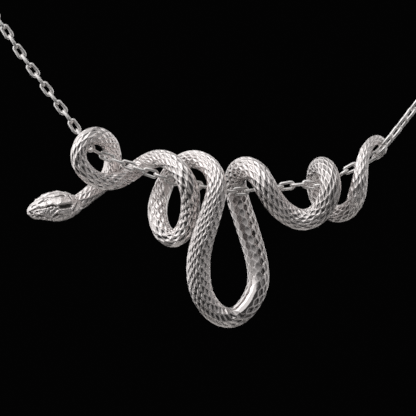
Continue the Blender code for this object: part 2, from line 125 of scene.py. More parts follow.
# Which way the belly faces. It turns towards the chain where they cross, and into each hanging loop.
# Columns: share of the snake's length, then right, back and up.
BELLY_FACES = [
    (0.000, 0.0, 0.47, -0.88), (0.045, 0.0, 0.47, -0.88), (0.062, -0.2, -0.5, -0.8),
    (0.078, -0.1, -1.0, 0.0), (0.091, -0.3, -0.95, 0.0), (0.104, -0.8, -0.3, -0.5),
    (0.112, -0.2, 0.1, -0.95), (0.122, 0.4, 0.2, -0.85), (0.133, 0.6, 0.55, -0.55), (0.150, 0.65, 0.75, 0.0),
    (0.168, 0.35, 0.75, 0.55), (0.185, 0.0, 0.3, 0.95), (0.203, -0.1, -0.6, 0.8),
    (0.215, 0.0, -1.0, 0.0), (0.232, 0.0, -0.1, -1.0), (0.247, 0.0, 0.6, -0.8),
    (0.265, 0.0, 1.0, -0.1), (0.290, -0.5, 0.85, 0.0), (0.310, -0.5, 0.7, 0.5),
    (0.320, 0.0, 0.6, 0.8), (0.332, 0.6, 0.5, 0.6), (0.350, 0.85, 0.5, 0.0),
    (0.361, 0.95, 0.0, 0.0), (0.372, 0.5, -0.85, 0.0), (0.384, 0.3, -0.95, 0.0), (0.393, 0.8, -0.6, 0.0),
    (0.403, 0.7, 0.0, -0.7), (0.416, 0.0, 0.1, -1.0), (0.430, 0.0, 0.7, -0.7), (0.450, 0.0, 1.0, 0.0),
    (0.490, 0.4, 0.9, 0.0), (0.520, 0.5, 0.85, 0.0), (0.545, 0.1, 0.6, 0.8),
    (0.562, 0.0, -0.55, 0.83), (0.574, -0.10, -0.86, 0.48), (0.588, -0.30, -0.94, 0.15),
    (0.600, -0.42, -0.91, 0.0), (0.640, -0.50, -0.87, 0.0), (0.664, -0.46, -0.89, 0.0),
    (0.682, 0.3, -0.95, 0.0), (0.695, 0.6, -0.2, -0.7), (0.709, 0.1, 0.1, -1.0),
    (0.722, 0.0, 0.7, -0.7), (0.740, 0.0, 1.0, 0.0), (0.760, 0.3, 0.8, 0.5),
    (0.774, 0.0, 0.6, 0.8), (0.790, -0.6, 0.7, 0.4), (0.808, -0.4, 0.9, 0.0),
    (0.828, -0.1, 0.6, -0.8), (0.837, 0.0, 0.0, -1.0), (0.846, 0.0, -0.7, -0.7),
    (0.863, 0.2, -0.98, 0.0), (0.882, 0.3, -0.6, 0.7), (0.900, 0.0, 0.1, 1.0),
    (0.915, -0.5, 0.6, 0.6), (0.935, -0.2, 1.0, 0.0), (0.955, 0.1, 0.6, -0.8),
    (0.975, 0.1, 0.0, -1.0), (1.000, 0.5, 0.0, -0.5),
]

# The scales
SCALE_LENGTH = 1.44 * MM        # from one scale to the next in its own row
SCALE_ROWS = 18                 # rows of scales round the body
SCALE_POINT = 0.30              # how far each scale's sides lean together, 0.5 for a full lozenge
RIM = (0.77, 0.85)              # the rim's inner shoulder, as shares of the scale's width and length
FOOT = (0.55, 0.67)             # the foot of the rim's wall, where the black of oxide and painted shade stays, likewise
PLATE_BACK = 0.03               # the plate lies back from the scale's free tip, as a share of its length
RING_DEPTHS = (0.0, 0.22, 1.0, 0.95)            # how deep the outline, shoulder, foot and middle lie
RING_OXIDE_AND_SHADE = (0.0, 0.12, 1.0, 0.80)            # how black these four are with oxide and painted shade, times the chance below
RING_POLISH = (0.0, 0.0, 1.0, 1.0)              # and how polished: the plates shine, the rims are satin
PLATE_DEPTH = 0.15 * MM
PLATE_TILT = 0.03 * MM          # the plate is deeper than that at its front end by about this much
DEPTH_CHANCE = (0.75, 1.15)     # each plate's depth by chance, as a share of the one above
TILT_CHANCE = (0.8, 1.6)        # its tilt along the body, likewise
LEAN_CHANCE = (-0.3, 0.3)       # its lean across the body, as a share of the same tilt
OXIDE_AND_SHADE_CHANCE = (0.7, 1.1)       # how black it is by chance, against the four shares above
SCALE_SEED = 3
MATCH_GRID = 600                # neighbours share outline points, found by their nearest part of a scale
SKIN_IN = 0.07 * MM             # the skin's rims lie this far inside the plain solid's surface
BELLY_HALF = math.radians(44)   # the belly's half width round the body
BELLY_EDGE = math.radians(5)
BELLY_RELIEF = 0.30             # how much of the relief is left on the belly
BELLY_POLISH = 0.3              # how polished the belly is, against the stretch below
POLISHED = (0.566, 0.610)       # the stretch whose belly is polished smooth, as shares of the length
POLISH_IN, POLISH_OUT = 0.004, 0.03             # the polish begins and ends over these, likewise
BODY_START = 7.4 * MM           # the scales begin under the head's end and stop under the tail's start
BODY_END = 180.3 * MM

# Rows of scales are wider on the back in the small loops, and on the belly in the thick long one and
# after it. The plates are blackest up the long loop's right and in the last coil, where the black is
# painted shade and painted reflection of the dim room on top of the oxide. The belly's black is painted
# shade.
# Columns: share of the snake's length, the spread, by which the belly's rows are wider than the
# mean, how black the plates and the belly are, and how polished the plates are.
SCALE_CHANGES = [
    (0.00, -0.12, 0.40, 0.0, 0.2),
    (0.08, -0.12, 0.40, 0.0, 0.2),
    (0.11, -0.12, 0.05, 0.0, 0.8),
    (0.17, -0.12, 0.05, 0.0, 0.8),
    (0.20, -0.12, 0.45, 0.0, 0.8),
    (0.34, -0.12, 0.35, 0.0, 0.8),
    (0.43, 0.34, 0.30, 0.0, 0.8),
    (0.56, 0.34, 0.50, 0.5, 0.8),
    (0.59, 0.30, 1.00, 0.5, 0.8),
    (0.68, 0.26, 0.90, 0.5, 0.8),
    (0.70, 0.20, 0.35, 0.0, 0.8),
    (0.74, 0.18, 0.35, 0.0, 0.8),
    (0.76, 0.18, 0.45, 0.0, 0.3),
    (0.80, 0.16, 0.80, 0.0, 0.3),
    (0.89, 0.12, 0.80, 0.0, 0.3),
    (0.91, 0.12, 0.95, 0.0, 0.3),
    (0.912, 0.12, 0.10, 0.0, 0.0),
    (0.94, 0.12, 0.30, 0.0, 0.1),
    (1.00, 0.10, 0.50, 0.0, 0.2),
]


# Columns of the snake's line: its middle, half its thickness, which ways are up and aside, and how far
# the belly is turned from up towards that side
PLACE, RADIUS, UP, SIDE, TURN = slice(0, 3), 3, slice(4, 7), slice(7, 10), 10


def distances(line):
    """How far each of the line's points is along it."""
    steps = np.linalg.norm(np.diff(line[:, PLACE], axis=0), axis=1)
    return np.concatenate([[0], np.cumsum(steps)])


def read_line(line, reach, places):
    """The line's columns at these distances along it. reach is the line's own distances."""
    return np.stack([np.interp(places, reach, column) for column in line.T], axis=-1)


def smooth_line(rows):
    """A smooth curve through the rows, read every STEP along it. Each row starts with its place.

    It is a Catmull-Rom spline, whose rows are spaced by the root of their distance.
    """
    rows = np.array(rows, float)
    padded = np.concatenate([2 * rows[:1] - rows[1:2], rows, 2 * rows[-1:] - rows[-2:-1]])
    pieces = []
    for i in range(1, len(padded) - 2):
        p0, p1, p2, p3 = padded[i - 1:i + 3]
        gaps = [math.sqrt(np.linalg.norm((b - a)[PLACE])) for a, b in ((p0, p1), (p1, p2), (p2, p3))]
        t1, t2, t3 = np.cumsum(gaps)
        t = np.linspace(t1, t2, SAMPLES, endpoint=False)[:, None]
        a1 = (t1 - t) / t1 * p0 + t / t1 * p1
        a2 = (t2 - t) / (t2 - t1) * p1 + (t - t1) / (t2 - t1) * p2
        a3 = (t3 - t) / (t3 - t2) * p2 + (t - t2) / (t3 - t2) * p3
        b1 = (t2 - t) / t2 * a1 + t / t2 * a2
        b2 = (t3 - t) / (t3 - t1) * a2 + (t - t1) / (t3 - t1) * a3
        pieces.append((t2 - t) / (t2 - t1) * b1 + (t - t1) / (t2 - t1) * b2)
    line = np.concatenate(pieces + [rows[-1:]])
    reach = distances(line)
    return read_line(line, reach, np.linspace(0, reach[-1], int(reach[-1] / STEP) + 1))


def even_out(line, rounds):
    """Draws each point of the line towards its neighbours, and leaves its two ends."""
    for _ in range(rounds):
        line[1:-1] = (line[:-2] + 2 * line[1:-1] + line[2:]) / 4


def front_point(across, up, depth=0.0):
    return (across * PENDANT_WIDTH, depth * COIL_DEPTH - REACH, up * PENDANT_HEIGHT - DROP)


def unit(vectors):
    return vectors / np.linalg.norm(vectors, axis=-1, keepdims=True)


def from_zero(turns):
    """How far each turn is from none, either way round."""
    return np.abs((turns + math.pi) % (2 * math.pi) - math.pi)


snake_line = smooth_line([(*front_point(across, up, depth), thick * BODY_THICKNESS / 2)
                          for across, up, depth, thick in SNAKE_ROUTE])
even_out(snake_line, LINE_ROUNDS)
snake_reach = distances(snake_line)
snake_length = snake_reach[-1]

# An up and a side for each place on the line, which turn about it as little as they can
along_line = unit(np.gradient(snake_line[:, PLACE], axis=0))
up_line = np.zeros_like(along_line)
up = np.array((0.0, -math.sin(CROWN_LEAN), math.cos(CROWN_LEAN)))
for i, along in enumerate(along_line):
    up = unit(up - along * up.dot(along))
    up_line[i] = up
side_line = np.cross(along_line, up_line)

# The belly's turn about the line at each place in the list, eased between them
belly = np.array(BELLY_FACES)
belly_at = np.searchsorted(snake_reach, belly[:, 0] * snake_length).clip(0, len(snake_line) - 1)
belly_turn = np.unwrap(np.arctan2((belly[:, 1:] * side_line[belly_at]).sum(axis=1),
                                  (belly[:, 1:] * up_line[belly_at]).sum(axis=1)))
turn_line = np.interp(snake_reach, belly[:, 0] * snake_length, belly_turn)
even_out(turn_line, TURN_ROUNDS)
body_frame = np.concatenate([snake_line, up_line, side_line, turn_line[:, None]], axis=1)
body_frame[:, RADIUS] -= SKIN_IN


def skin_points(line_frame, places, turns, heights):
    """Points on the snake's skin: so far along, turned so far from the belly, raised by so much."""
    rows = read_line(line_frame, snake_reach, places)
    angle = turns + rows[:, TURN]
    out = rows[:, UP] * np.cos(angle)[:, None] + rows[:, SIDE] * np.sin(angle)[:, None]
    return rows[:, PLACE] + unit(out) * (rows[:, RADIUS] + heights)[:, None]


def ease(value, low, high):
    """0 up to low and 1 from high on, with a soft rise between them."""
    share = ((value - low) / (high - low)).clip(0, 1)
    return share * share * (3 - 2 * share)


def scale_outline(point):
    """One scale's outline round its middle. Columns: rows across, and lengths along.

    Its leaning sides have a point halfway, so that they follow the body round.
    """
    wide, narrow = 0.5 + point, 0.5 - point
    corners = [(wide, 0), (narrow, 0.5), (-narrow, 0.5), (-wide, 0), (-narrow, -0.5), (narrow, -0.5)]
    outline = []
    for (x0, y0), (x1, y1) in zip(corners, corners[1:] + corners[:1]):
        pieces = 1 if y0 == y1 else 2
        for k in range(pieces):
            outline.append((x0 + (x1 - x0) * k / pieces, y0 + (y1 - y0) * k / pieces))
    return np.array(outline)


def scaly_skin(name, start, end, rows_round, scale_length, relief, seed, line_frame):
    """A closed skin of scales between two distances along the snake.

    Its points are written out, because no operator lays lozenges round a line that turns as this does.
    """
    chance = np.random.default_rng(seed)
    outline = scale_outline(SCALE_POINT)
    rows_along = round((end - start) / scale_length)
    pitch = (end - start) / rows_along
    row, lap = np.meshgrid(np.arange(rows_round), np.arange(rows_along), indexing="ij")
    # Every other row lies half a scale further along
    centres = np.stack([row.ravel(), (lap + row % 2 / 2).ravel()], axis=1).astype(float)
    count = len(centres)
    back = np.array((0, PLATE_BACK))
    rings = [outline, outline * RIM - back / 2, outline * FOOT - back, -back[None]]
    deep = -PLATE_DEPTH * relief * chance.uniform(*DEPTH_CHANCE, count)
    tilt = PLATE_TILT * relief * chance.uniform(*TILT_CHANCE, count)
    lean = PLATE_TILT * relief * chance.uniform(*LEAN_CHANCE, count)
    oxide_and_shade_amount = chance.uniform(*OXIDE_AND_SHADE_CHANCE, count)
    # Each point's places round and along the body in scales, its height, how black it is with oxide
    # and painted shade, how polished it is, and its scale
    points = []
    for ring, share, ring_oxide_and_shade, shine in zip(rings, RING_DEPTHS, RING_OXIDE_AND_SHADE, RING_POLISH):
        local = centres[:, None, :] + ring[None, :, :]
        height = share * (deep[:, None] + tilt[:, None] * ring[:, 1] + lean[:, None] * ring[:, 0])
        points.append(np.stack([local[:, :, 0].ravel(), local[:, :, 1].ravel(), height.ravel(),
                                ring_oxide_and_shade * np.repeat(oxide_and_shade_amount, len(ring)), np.full(height.size, shine),
                                np.repeat(np.arange(count), len(ring))], axis=1))
    # Neighbours share their outlines' points
    shared = np.round(points[0][:, :2] * MATCH_GRID).astype(int)
    shared[:, 0] %= rows_round * MATCH_GRID
    _, first, same = np.unique(shared, axis=0, return_index=True, return_inverse=True)
    row_at, lap_at, height, black, gloss, owner = np.concatenate([points[0][first]] + points[1:]).T
    sides = len(outline)
    loops = [same.ravel().reshape(count, sides)]
    for number in range(len(rings) - 2):
        loops.append(len(first) + number * count * sides + np.arange(count * sides).reshape(count, sides))
    middle = loops[-1].max() + 1 + np.arange(count)
    faces = []
    for low, high in zip(loops, loops[1:]):
        faces += np.stack([low, np.roll(low, -1, axis=1), np.roll(high, -1, axis=1), high],
                          axis=2).reshape(-1, 4).tolist()
    faces += np.stack([loops[-1], np.roll(loops[-1], -1, axis=1), np.repeat(middle[:, None], sides, axis=1)],
                      axis=2).reshape(-1, 3).tolist()
    # Where the points lie round and along the body. A scale is on the belly or off it as a whole.
    shares, spreads, plate_oxide_and_shade, belly_painted_shade, shines = np.array(SCALE_CHANGES).T

    def lay_out(rows, laps):
        along = start + (laps + 0.5) * pitch
        even_turn = rows / rows_round * 2 * math.pi
        return along, even_turn + np.interp(along / snake_length, shares, spreads) * np.sin(even_turn)

    along, turn = lay_out(row_at, lap_at)
    middle_along, middle_turn = lay_out(*centres[owner.astype(int)].T)
    middle_share = middle_along / snake_length
    on_belly = 1 - ease(from_zero(middle_turn), BELLY_HALF - BELLY_EDGE / 2, BELLY_HALF + BELLY_EDGE / 2)
    polish = ease(middle_share, POLISHED[0], POLISHED[0] + POLISH_IN) \
        * (1 - ease(middle_share, POLISHED[1] - POLISH_OUT, POLISHED[1]))
    left = 1 - on_belly * (1 - BELLY_RELIEF * (1 - polish))
    # Plates and belly darken by the table above: oxide in the hollows, and painted shade where the strands
    # lie in shade
    oxide_and_shade_marks = black * left * np.interp(middle_share, shares, plate_oxide_and_shade) \
        + on_belly * (1 - polish) * np.interp(middle_share, shares, belly_painted_shade)
    gloss *= np.interp(middle_share, shares, shines)
    gloss += on_belly * (BELLY_POLISH + (1 - BELLY_POLISH) * polish - gloss)
    return close_skin(name, skin_points(line_frame, along, turn, height * left), faces, oxide_and_shade_marks, gloss)


def close_skin(name, points, faces, oxide_and_shade_marks, polish):
    """Makes the mesh, fills its two open ends, and keeps how black each point is with oxide and painted
    shade, and how polished.
    """
    mesh = bpy.data.meshes.new(name)
    mesh.from_pydata(points.tolist(), [], faces)
    piece = bpy.data.objects.new(name, mesh)
    bpy.context.collection.objects.link(piece)
    bpy.ops.object.select_all(action="DESELECT")
    bpy.context.view_layer.objects.active = piece
    piece.select_set(True)
    for label, values in (("oxide_and_shade", oxide_and_shade_marks), ("polish", polish)):
        layer = mesh.attributes.new(label, "FLOAT", "POINT")
        layer.data.foreach_set("value", values.astype(np.float32))
    bpy.ops.object.mode_set(mode="EDIT")
    bpy.ops.mesh.select_mode(type="EDGE")
    bpy.ops.mesh.select_all(action="DESELECT")
    bpy.ops.mesh.select_non_manifold()
    bpy.ops.mesh.edge_face_add()
    bpy.ops.mesh.select_all(action="SELECT")
    bpy.ops.mesh.normals_make_consistent(inside=False)
    bpy.ops.object.mode_set(mode="OBJECT")
    bpy.ops.object.shade_smooth()
    return piece


# The finish of every silver piece
CAST_COLOUR = (0.95, 0.895, 0.88)
# The colour laid into hollows: partly the casting's oxide, partly painted shade and painted reflection of the
# dim room
OXIDE_AND_SHADE_COLOUR = (0.05, 0.043, 0.040)
MARKS_SHOW = (0.15, 1.0)        # the values from which a hollow darkens with oxide and painted shade, and at which it is blackest
BLACKEST = 0.97                 # how much of the silver's colour the black covers there
CLOUD_SCALE = 420               # soft clouds of smoother and rougher silver, about 2.4 mm across
CLOUD_SPAN = (0.3, 0.7)         # the noise's values in their smoothest and roughest places
CLOUD_ROUGHNESS = (-0.05, 0.07)                 # and what is added to the roughness there
MIRROR_ROUGHNESS = 0.09         # the roughness where the silver is fully polished
GRAIN_SCALE = 5200              # the fine grain of the metal, about 0.2 mm across
GRAIN_HEIGHT = 0.008 * MM


def silver(name, colour, roughness, grain):
    """Silver darkened where it is recessed, partly by oxide and partly by painted shade, and smoother where
    it is polished.
    """
    material = bpy.data.materials.new(name)
    material.use_nodes = True
    nodes, links = material.node_tree.nodes, material.node_tree.links
    shader = nodes["Principled BSDF"]
    shader.inputs["Metallic"].default_value = 1.0
    # Two noises, soft clouds and a fine grain
    place = nodes.new("ShaderNodeTexCoord")
    cloud = nodes.new("ShaderNodeTexNoise")
    cloud.inputs["Scale"].default_value = CLOUD_SCALE
    cloud.inputs["Detail"].default_value = 4
    links.new(place.outputs["Object"], cloud.inputs["Vector"])
    fine = nodes.new("ShaderNodeTexNoise")
    fine.inputs["Scale"].default_value = GRAIN_SCALE
    fine.inputs["Detail"].default_value = 3
    links.new(place.outputs["Object"], fine.inputs["Vector"])
    # Colour, darkened by oxide and painted shade where the skin's values say so
    oxide_and_shade = nodes.new("ShaderNodeAttribute")
    oxide_and_shade.attribute_name = "oxide_and_shade"
    shade = nodes.new("ShaderNodeMapRange")
    shade.inputs["From Min"].default_value, shade.inputs["From Max"].default_value = MARKS_SHOW
    shade.inputs["To Min"].default_value = 0.0
    shade.inputs["To Max"].default_value = BLACKEST
    links.new(oxide_and_shade.outputs["Fac"], shade.inputs["Value"])
    mix = nodes.new("ShaderNodeMix")
    mix.data_type = "RGBA"
    mix.inputs["A"].default_value = (*colour, 1)
    mix.inputs["B"].default_value = (*OXIDE_AND_SHADE_COLOUR, 1)
    links.new(shade.outputs["Result"], mix.inputs["Factor"])
    links.new(mix.outputs["Result"], shader.inputs["Base Color"])
    # Roughness, by the clouds and by how polished each place is
    rough = nodes.new("ShaderNodeMapRange")
    rough.inputs["From Min"].default_value, rough.inputs["From Max"].default_value = CLOUD_SPAN
    rough.inputs["To Min"].default_value = roughness + CLOUD_ROUGHNESS[0]
    rough.inputs["To Max"].default_value = roughness + CLOUD_ROUGHNESS[1]
    links.new(cloud.outputs["Fac"], rough.inputs["Value"])
    polish = nodes.new("ShaderNodeAttribute")
    polish.attribute_name = "polish"
    smooth = nodes.new("ShaderNodeMix")
    smooth.inputs["B"].default_value = MIRROR_ROUGHNESS
    links.new(polish.outputs["Fac"], smooth.inputs["Factor"])
    links.new(rough.outputs["Result"], smooth.inputs["A"])
    links.new(smooth.outputs["Result"], shader.inputs["Roughness"])
    # Grain
    bump = nodes.new("ShaderNodeBump")
    bump.inputs["Strength"].default_value = grain
    bump.inputs["Distance"].default_value = GRAIN_HEIGHT
    links.new(fine.outputs["Fac"], bump.inputs["Height"])
    links.new(bump.outputs["Normal"], shader.inputs["Normal"])
    return material


cast_silver = silver("cast_silver", CAST_COLOUR, roughness=0.34, grain=0.10)
body = scaly_skin("snake_body", BODY_START, BODY_END, SCALE_ROWS, SCALE_LENGTH,
                  relief=1.0, seed=SCALE_SEED, line_frame=body_frame)
body.data.materials.append(cast_silver)
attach(body, "pendant")
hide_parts("snake")

# Head
# The same casting, carved as a flat, wide viper's head: a brow ridge over a round eye, a deep pit in
# the temple, grooved plates on the crown, and a closed mouth. Its recesses are blackened, partly with
# oxide and partly with painted shade.
HEAD_LENGTH = 8.2 * MM
HEAD_WIDTH = 5.3 * MM
HEAD_HEIGHT = 4.35 * MM
HEAD_RINGS = 150                # rings of points from the snout to the neck
HEAD_COLUMNS = 180              # and points round each
FIRST_RING = 0.03               # the rings stand at even steps from here to 1
RING_CROWDING = 1.5             # raised to this power, which crowds them towards the snout
STROKE_EDGE = (0.3, 1.3)        # a stroke fades between these shares of its half width
POINT_RUN = MM ** 3             # added to a stroke's length, which is zero where it has one point
DENT_SIZE = 0.45 * MM           # uneven dents all over, left by the carving
DENT_HEIGHT = 0.04 * MM
DENT_LAYERS = (1.0, 2.0, 3)     # the power by which finer layers weaken, how much finer each is, how many
CHEEK_DENTS = 1.3               # the dents are deeper by this share on the cheek, away from the crown
CHEEK_TOP, CHEEK_FULL = math.radians(58), math.radians(75)      # they deepen between these turns off it

# The head's sections, from the snout to the neck.
# Columns: along, wide and tall, as shares of the head's length, width and height.
HEAD_SECTIONS = [
    (0.00, 0.00, 0.00),
    (0.03, 0.25, 0.27),
    (0.07, 0.38, 0.42),
    (0.17, 0.56, 0.57),
    (0.32, 0.79, 0.78),
    (0.45, 0.94, 0.93),
    (0.61, 1.00, 1.00),
    (0.77, 0.86, 0.88),
    (0.88, 0.62, 0.71),
    (0.95, 0.48, 0.58),
    (1.00, 0.41, 0.50),
]

# What is carved on the head, alike on both sides. A later stroke is carved over the ones before it.
# Columns: height and half width in millimetres, how black it is with oxide and painted shade, and the
# points along its middle, as shares of the head's length and degrees down from the crown.
HEAD_STROKES = [
    # Brow: a ridge from the snout, its broad middle, the arch over the eye, and a line under each
    (0.10, 0.17, 0.0, [(0.037, 57), (0.082, 45), (0.156, 36), (0.217, 34)]),
    (0.12, 0.34, 0.0, [(0.217, 31), (0.281, 38), (0.351, 43)]),
    (0.16, 0.17, 0.0, [(0.340, 47), (0.378, 46), (0.458, 43), (0.520, 51)]),
    (-0.16, 0.12, 1.0, [(0.350, 54), (0.390, 51), (0.460, 49), (0.520, 58)]),
    (-0.12, 0.10, 0.8, [(0.086, 56), (0.148, 48), (0.208, 48), (0.265, 53), (0.330, 54)]),
    # Eye in its socket, with two wrinkles that meet below it
    (-0.14, 0.42, 0.9, [(0.432, 58)]),
    (0.28, 0.29, 0.1, [(0.432, 58)]),
    (-0.07, 0.07, 0.8, [(0.395, 63), (0.430, 70), (0.462, 63)]),
    # Grooves and pits between the crown's plates, and the wavy crest beside them
    (-0.15, 0.12, 1.0, [(0.104, 24)]),
    (-0.15, 0.15, 1.0, [(0.120, 15), (0.170, 15)]),
    (-0.20, 0.19, 1.0, [(0.250, 18), (0.334, 14)]),
    (-0.18, 0.17, 1.0, [(0.350, 5), (0.421, 6)]),
    (-0.15, 0.14, 1.0, [(0.352, 24), (0.410, 19)]),
    (-0.12, 0.24, 0.6, [(0.443, 9), (0.520, 14)]),
    (-0.20, 0.20, 1.0, [(0.550, 15), (0.680, 12)]),
    (0.10, 0.13, 0.0, [(0.347, 42), (0.360, 29), (0.385, 25), (0.450, 20), (0.531, 23), (0.640, 22)]),
    (-0.15, 0.15, 1.0, [(0.767, 10), (0.789, 29)]),
    (-0.15, 0.15, 1.0, [(0.835, 4), (0.885, 18), (0.890, 35)]),
    # Temple: a deep pit under a ridge, a small ring on the ridge, and a smooth boss behind
    (0.10, 0.20, 0.0, [(0.560, 49), (0.612, 46), (0.720, 47)]),
    (-0.42, 0.40, 1.0, [(0.605, 61), (0.667, 61), (0.740, 60)]),
    (0.12, 0.22, 0.0, [(0.612, 45)]),
    (-0.22, 0.09, 1.0, [(0.612, 45)]),
    (0.10, 0.36, 0.0, [(0.780, 42)]),
    # Jaw: its raised rear edge, with a groove behind it
    (-0.18, 0.14, 1.0, [(0.892, 56), (0.858, 69), (0.790, 88)]),
    (0.15, 0.12, 0.0, [(0.886, 50), (0.825, 62), (0.776, 74), (0.754, 88), (0.760, 108)]),
    # Snout: a nostril with its rim, and pits along the lip
    (0.06, 0.26, 0.0, [(0.177, 66)]),
    (-0.22, 0.15, 1.0, [(0.177, 66)]),
    (-0.16, 0.15, 1.0, [(0.055, 64)]),
    (-0.20, 0.16, 1.0, [(0.078, 74), (0.095, 84)]),
    (-0.18, 0.17, 1.0, [(0.111, 100)]),
    (-0.16, 0.15, 1.0, [(0.160, 104)]),
    # Cheek: ridges and bumps over the lip, dark with oxide and painted shade between them
    (0.12, 0.13, 0.0, [(0.238, 75), (0.281, 90), (0.320, 101), (0.393, 105)]),
    (0.10, 0.13, 0.0, [(0.158, 80), (0.211, 80)]),
    (-0.14, 0.11, 0.9, [(0.555, 92), (0.612, 92)]),
    (0.10, 0.13, 0.0, [(0.571, 86), (0.629, 83)]),
    (0.10, 0.13, 0.0, [(0.675, 94), (0.710, 89)]),
    (-0.14, 0.13, 0.9, [(0.654, 101)]),
    (0.10, 0.15, 0.0, [(0.535, 108), (0.604, 104)]),
    (0.10, 0.13, 0.0, [(0.145, 110)]),
    (-0.14, 0.12, 0.9, [(0.177, 113)]),
    (-0.14, 0.12, 0.9, [(0.106, 108)]),
    # Mouth: the closed lips' line with two deep slots, and the lower jaw's folds and bumps
    (-0.08, 0.08, 0.8, [(0.160, 104), (0.262, 110), (0.323, 112), (0.400, 112), (0.466, 103), (0.560, 90)]),
    (-0.42, 0.30, 1.0, [(0.205, 102), (0.250, 107)]),
    (0.16, 0.16, 0.0, [(0.440, 95), (0.475, 88), (0.535, 77)]),
    (-0.42, 0.28, 1.0, [(0.470, 101), (0.522, 93)]),
    (-0.09, 0.09, 0.9, [(0.323, 112), (0.407, 123)]),
    (-0.08, 0.09, 0.8, [(0.490, 118), (0.530, 110)]),
    (0.09, 0.20, 0.0, [(0.244, 129)]),
    (0.09, 0.20, 0.0, [(0.330, 128)]),
    (0.09, 0.22, 0.0, [(0.451, 132)]),
    (0.09, 0.22, 0.0, [(0.592, 113)]),
    # Faint upright wrinkles on the cheek
    (-0.04, 0.06, 0.3, [(0.350, 74), (0.358, 94)]),
    (-0.04, 0.06, 0.3, [(0.395, 78), (0.400, 98)]),
    (-0.04, 0.06, 0.3, [(0.440, 76), (0.436, 88)]),
    (-0.04, 0.06, 0.3, [(0.560, 76), (0.590, 96)]),
    (-0.04, 0.06, 0.3, [(0.640, 78), (0.660, 98)]),
]


def head_size(shares):
    """Half the head's width and half its height at these shares of its length.

    The sections are joined along the root of the share, which rounds the snout.
    """
    along, wide, tall = np.array(HEAD_SECTIONS).T
    half_width = np.interp(np.sqrt(shares), np.sqrt(along), wide) * HEAD_WIDTH / 2
    return half_width, np.interp(np.sqrt(shares), np.sqrt(along), tall) * HEAD_HEIGHT / 2


def carve_head(shares, turns):
    """How high each place on the head is raised, and how black it is with oxide and painted shade."""
    down = from_zero(turns)
    radius = np.mean(head_size(shares), axis=0)
    raised, black = np.zeros(shares.size), np.zeros(shares.size)
    for height, half_width, oxide_and_shade_amount, points in HEAD_STROKES:
        nearest = np.full(shares.size, np.inf)
        for (share0, turn0), (share1, turn1) in zip(points, points[1:] or points):
            along, across = (shares - share0) * HEAD_LENGTH, (down - math.radians(turn0)) * radius
            run, rise = (share1 - share0) * HEAD_LENGTH, math.radians(turn1 - turn0) * radius
            share = ((along * run + across * rise) / (run * run + rise * rise + POINT_RUN)).clip(0, 1)
            nearest = np.minimum(nearest, np.hypot(along - share * run, across - share * rise))
        cover = 1 - ease(nearest, STROKE_EDGE[0] * half_width * MM, STROKE_EDGE[1] * half_width * MM)
        raised += height * MM * cover
        black += (oxide_and_shade_amount - black) * cover
    return raised, black


def head_points(shares, turns, heights):
    """Points on the head's skin: share of its length, turn from the crown, raised by so much."""
    half_width, half_height = head_size(shares)
    rows = read_line(body_frame, snake_reach, shares * HEAD_LENGTH)
    crown, cheek = unit(rows[:, UP]), unit(rows[:, SIDE])
    out = crown * np.cos(turns)[:, None] + cheek * np.sin(turns)[:, None]
    place = crown * (half_height * np.cos(turns))[:, None] + cheek * (half_width * np.sin(turns))[:, None]
    return rows[:, PLACE] + place + out * heights[:, None]


def grid_faces(rings, columns):
    """The faces between rings of points, each ring closed on itself."""
    ring, column = np.meshgrid(np.arange(rings - 1), np.arange(columns), indexing="ij")
    beside = (column + 1) % columns
    corners = [ring * columns + column, ring * columns + beside,
               (ring + 1) * columns + beside, (ring + 1) * columns + column]
    return np.stack([corner.ravel() for corner in corners], axis=1).tolist()


# The head is a fine grid of points round its sections, which the strokes and dents raise and sink
head_shares, head_turns = np.meshgrid(np.linspace(FIRST_RING, 1, HEAD_RINGS) ** RING_CROWDING,
                                      np.linspace(0, 2 * math.pi, HEAD_COLUMNS, endpoint=False),
                                      indexing="ij")
head_shares, head_turns = head_shares.ravel(), head_turns.ravel()
# The head's relief, and how black each place is with oxide and painted shade in its grooves and pits
raised, black = carve_head(head_shares, head_turns)
dents = [DENT_HEIGHT * noise.fractal(Vector(place) / DENT_SIZE, *DENT_LAYERS)
         for place in head_points(head_shares, head_turns, raised)]
raised += np.array(dents) * (1 + CHEEK_DENTS * ease(from_zero(head_turns), CHEEK_TOP, CHEEK_FULL))
head = close_skin("snake_head", head_points(head_shares, head_turns, raised),
                  grid_faces(HEAD_RINGS, HEAD_COLUMNS), black, polish=np.zeros(black.size))
head.data.materials.append(silver("carved_silver", CAST_COLOUR, roughness=0.41, grain=0.25))
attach(head, "pendant")
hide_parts("snake")

# Tail
# The casting's last strand, thinner than the body. It starts as a rounded end that lies over the last
# coil, rises in front of the chain, hooks over it and ends in a blunt tip behind it.
TAIL_START = 179.2 * MM
TAIL_SCALE_LENGTH = 1.25 * MM
TAIL_ROWS = 14
TAIL_RELIEF = 0.8               # how deep its plates are, against the body's
TAIL_SEED = 5
TAIL_SWELL = 0.15               # the strand's start is thicker than the body's end by this share
TAIL_SHIFT = (-0.15 * MM, -0.20 * MM, 0)        # and lies this far left and forward of the body's line
TAIL_EASE = 14 * MM             # the swelling and the shift are gone this far on
END_OPENING = 0.02              # a flat face closes each rounded end this share of a radius from its tip

tail_frame = body_frame.copy()
fresh = 1 - ease(snake_reach, TAIL_START, TAIL_START + TAIL_EASE)
tail_frame[:, RADIUS] *= 1 + TAIL_SWELL * fresh
tail_frame[:, PLACE] += np.outer(fresh, TAIL_SHIFT)
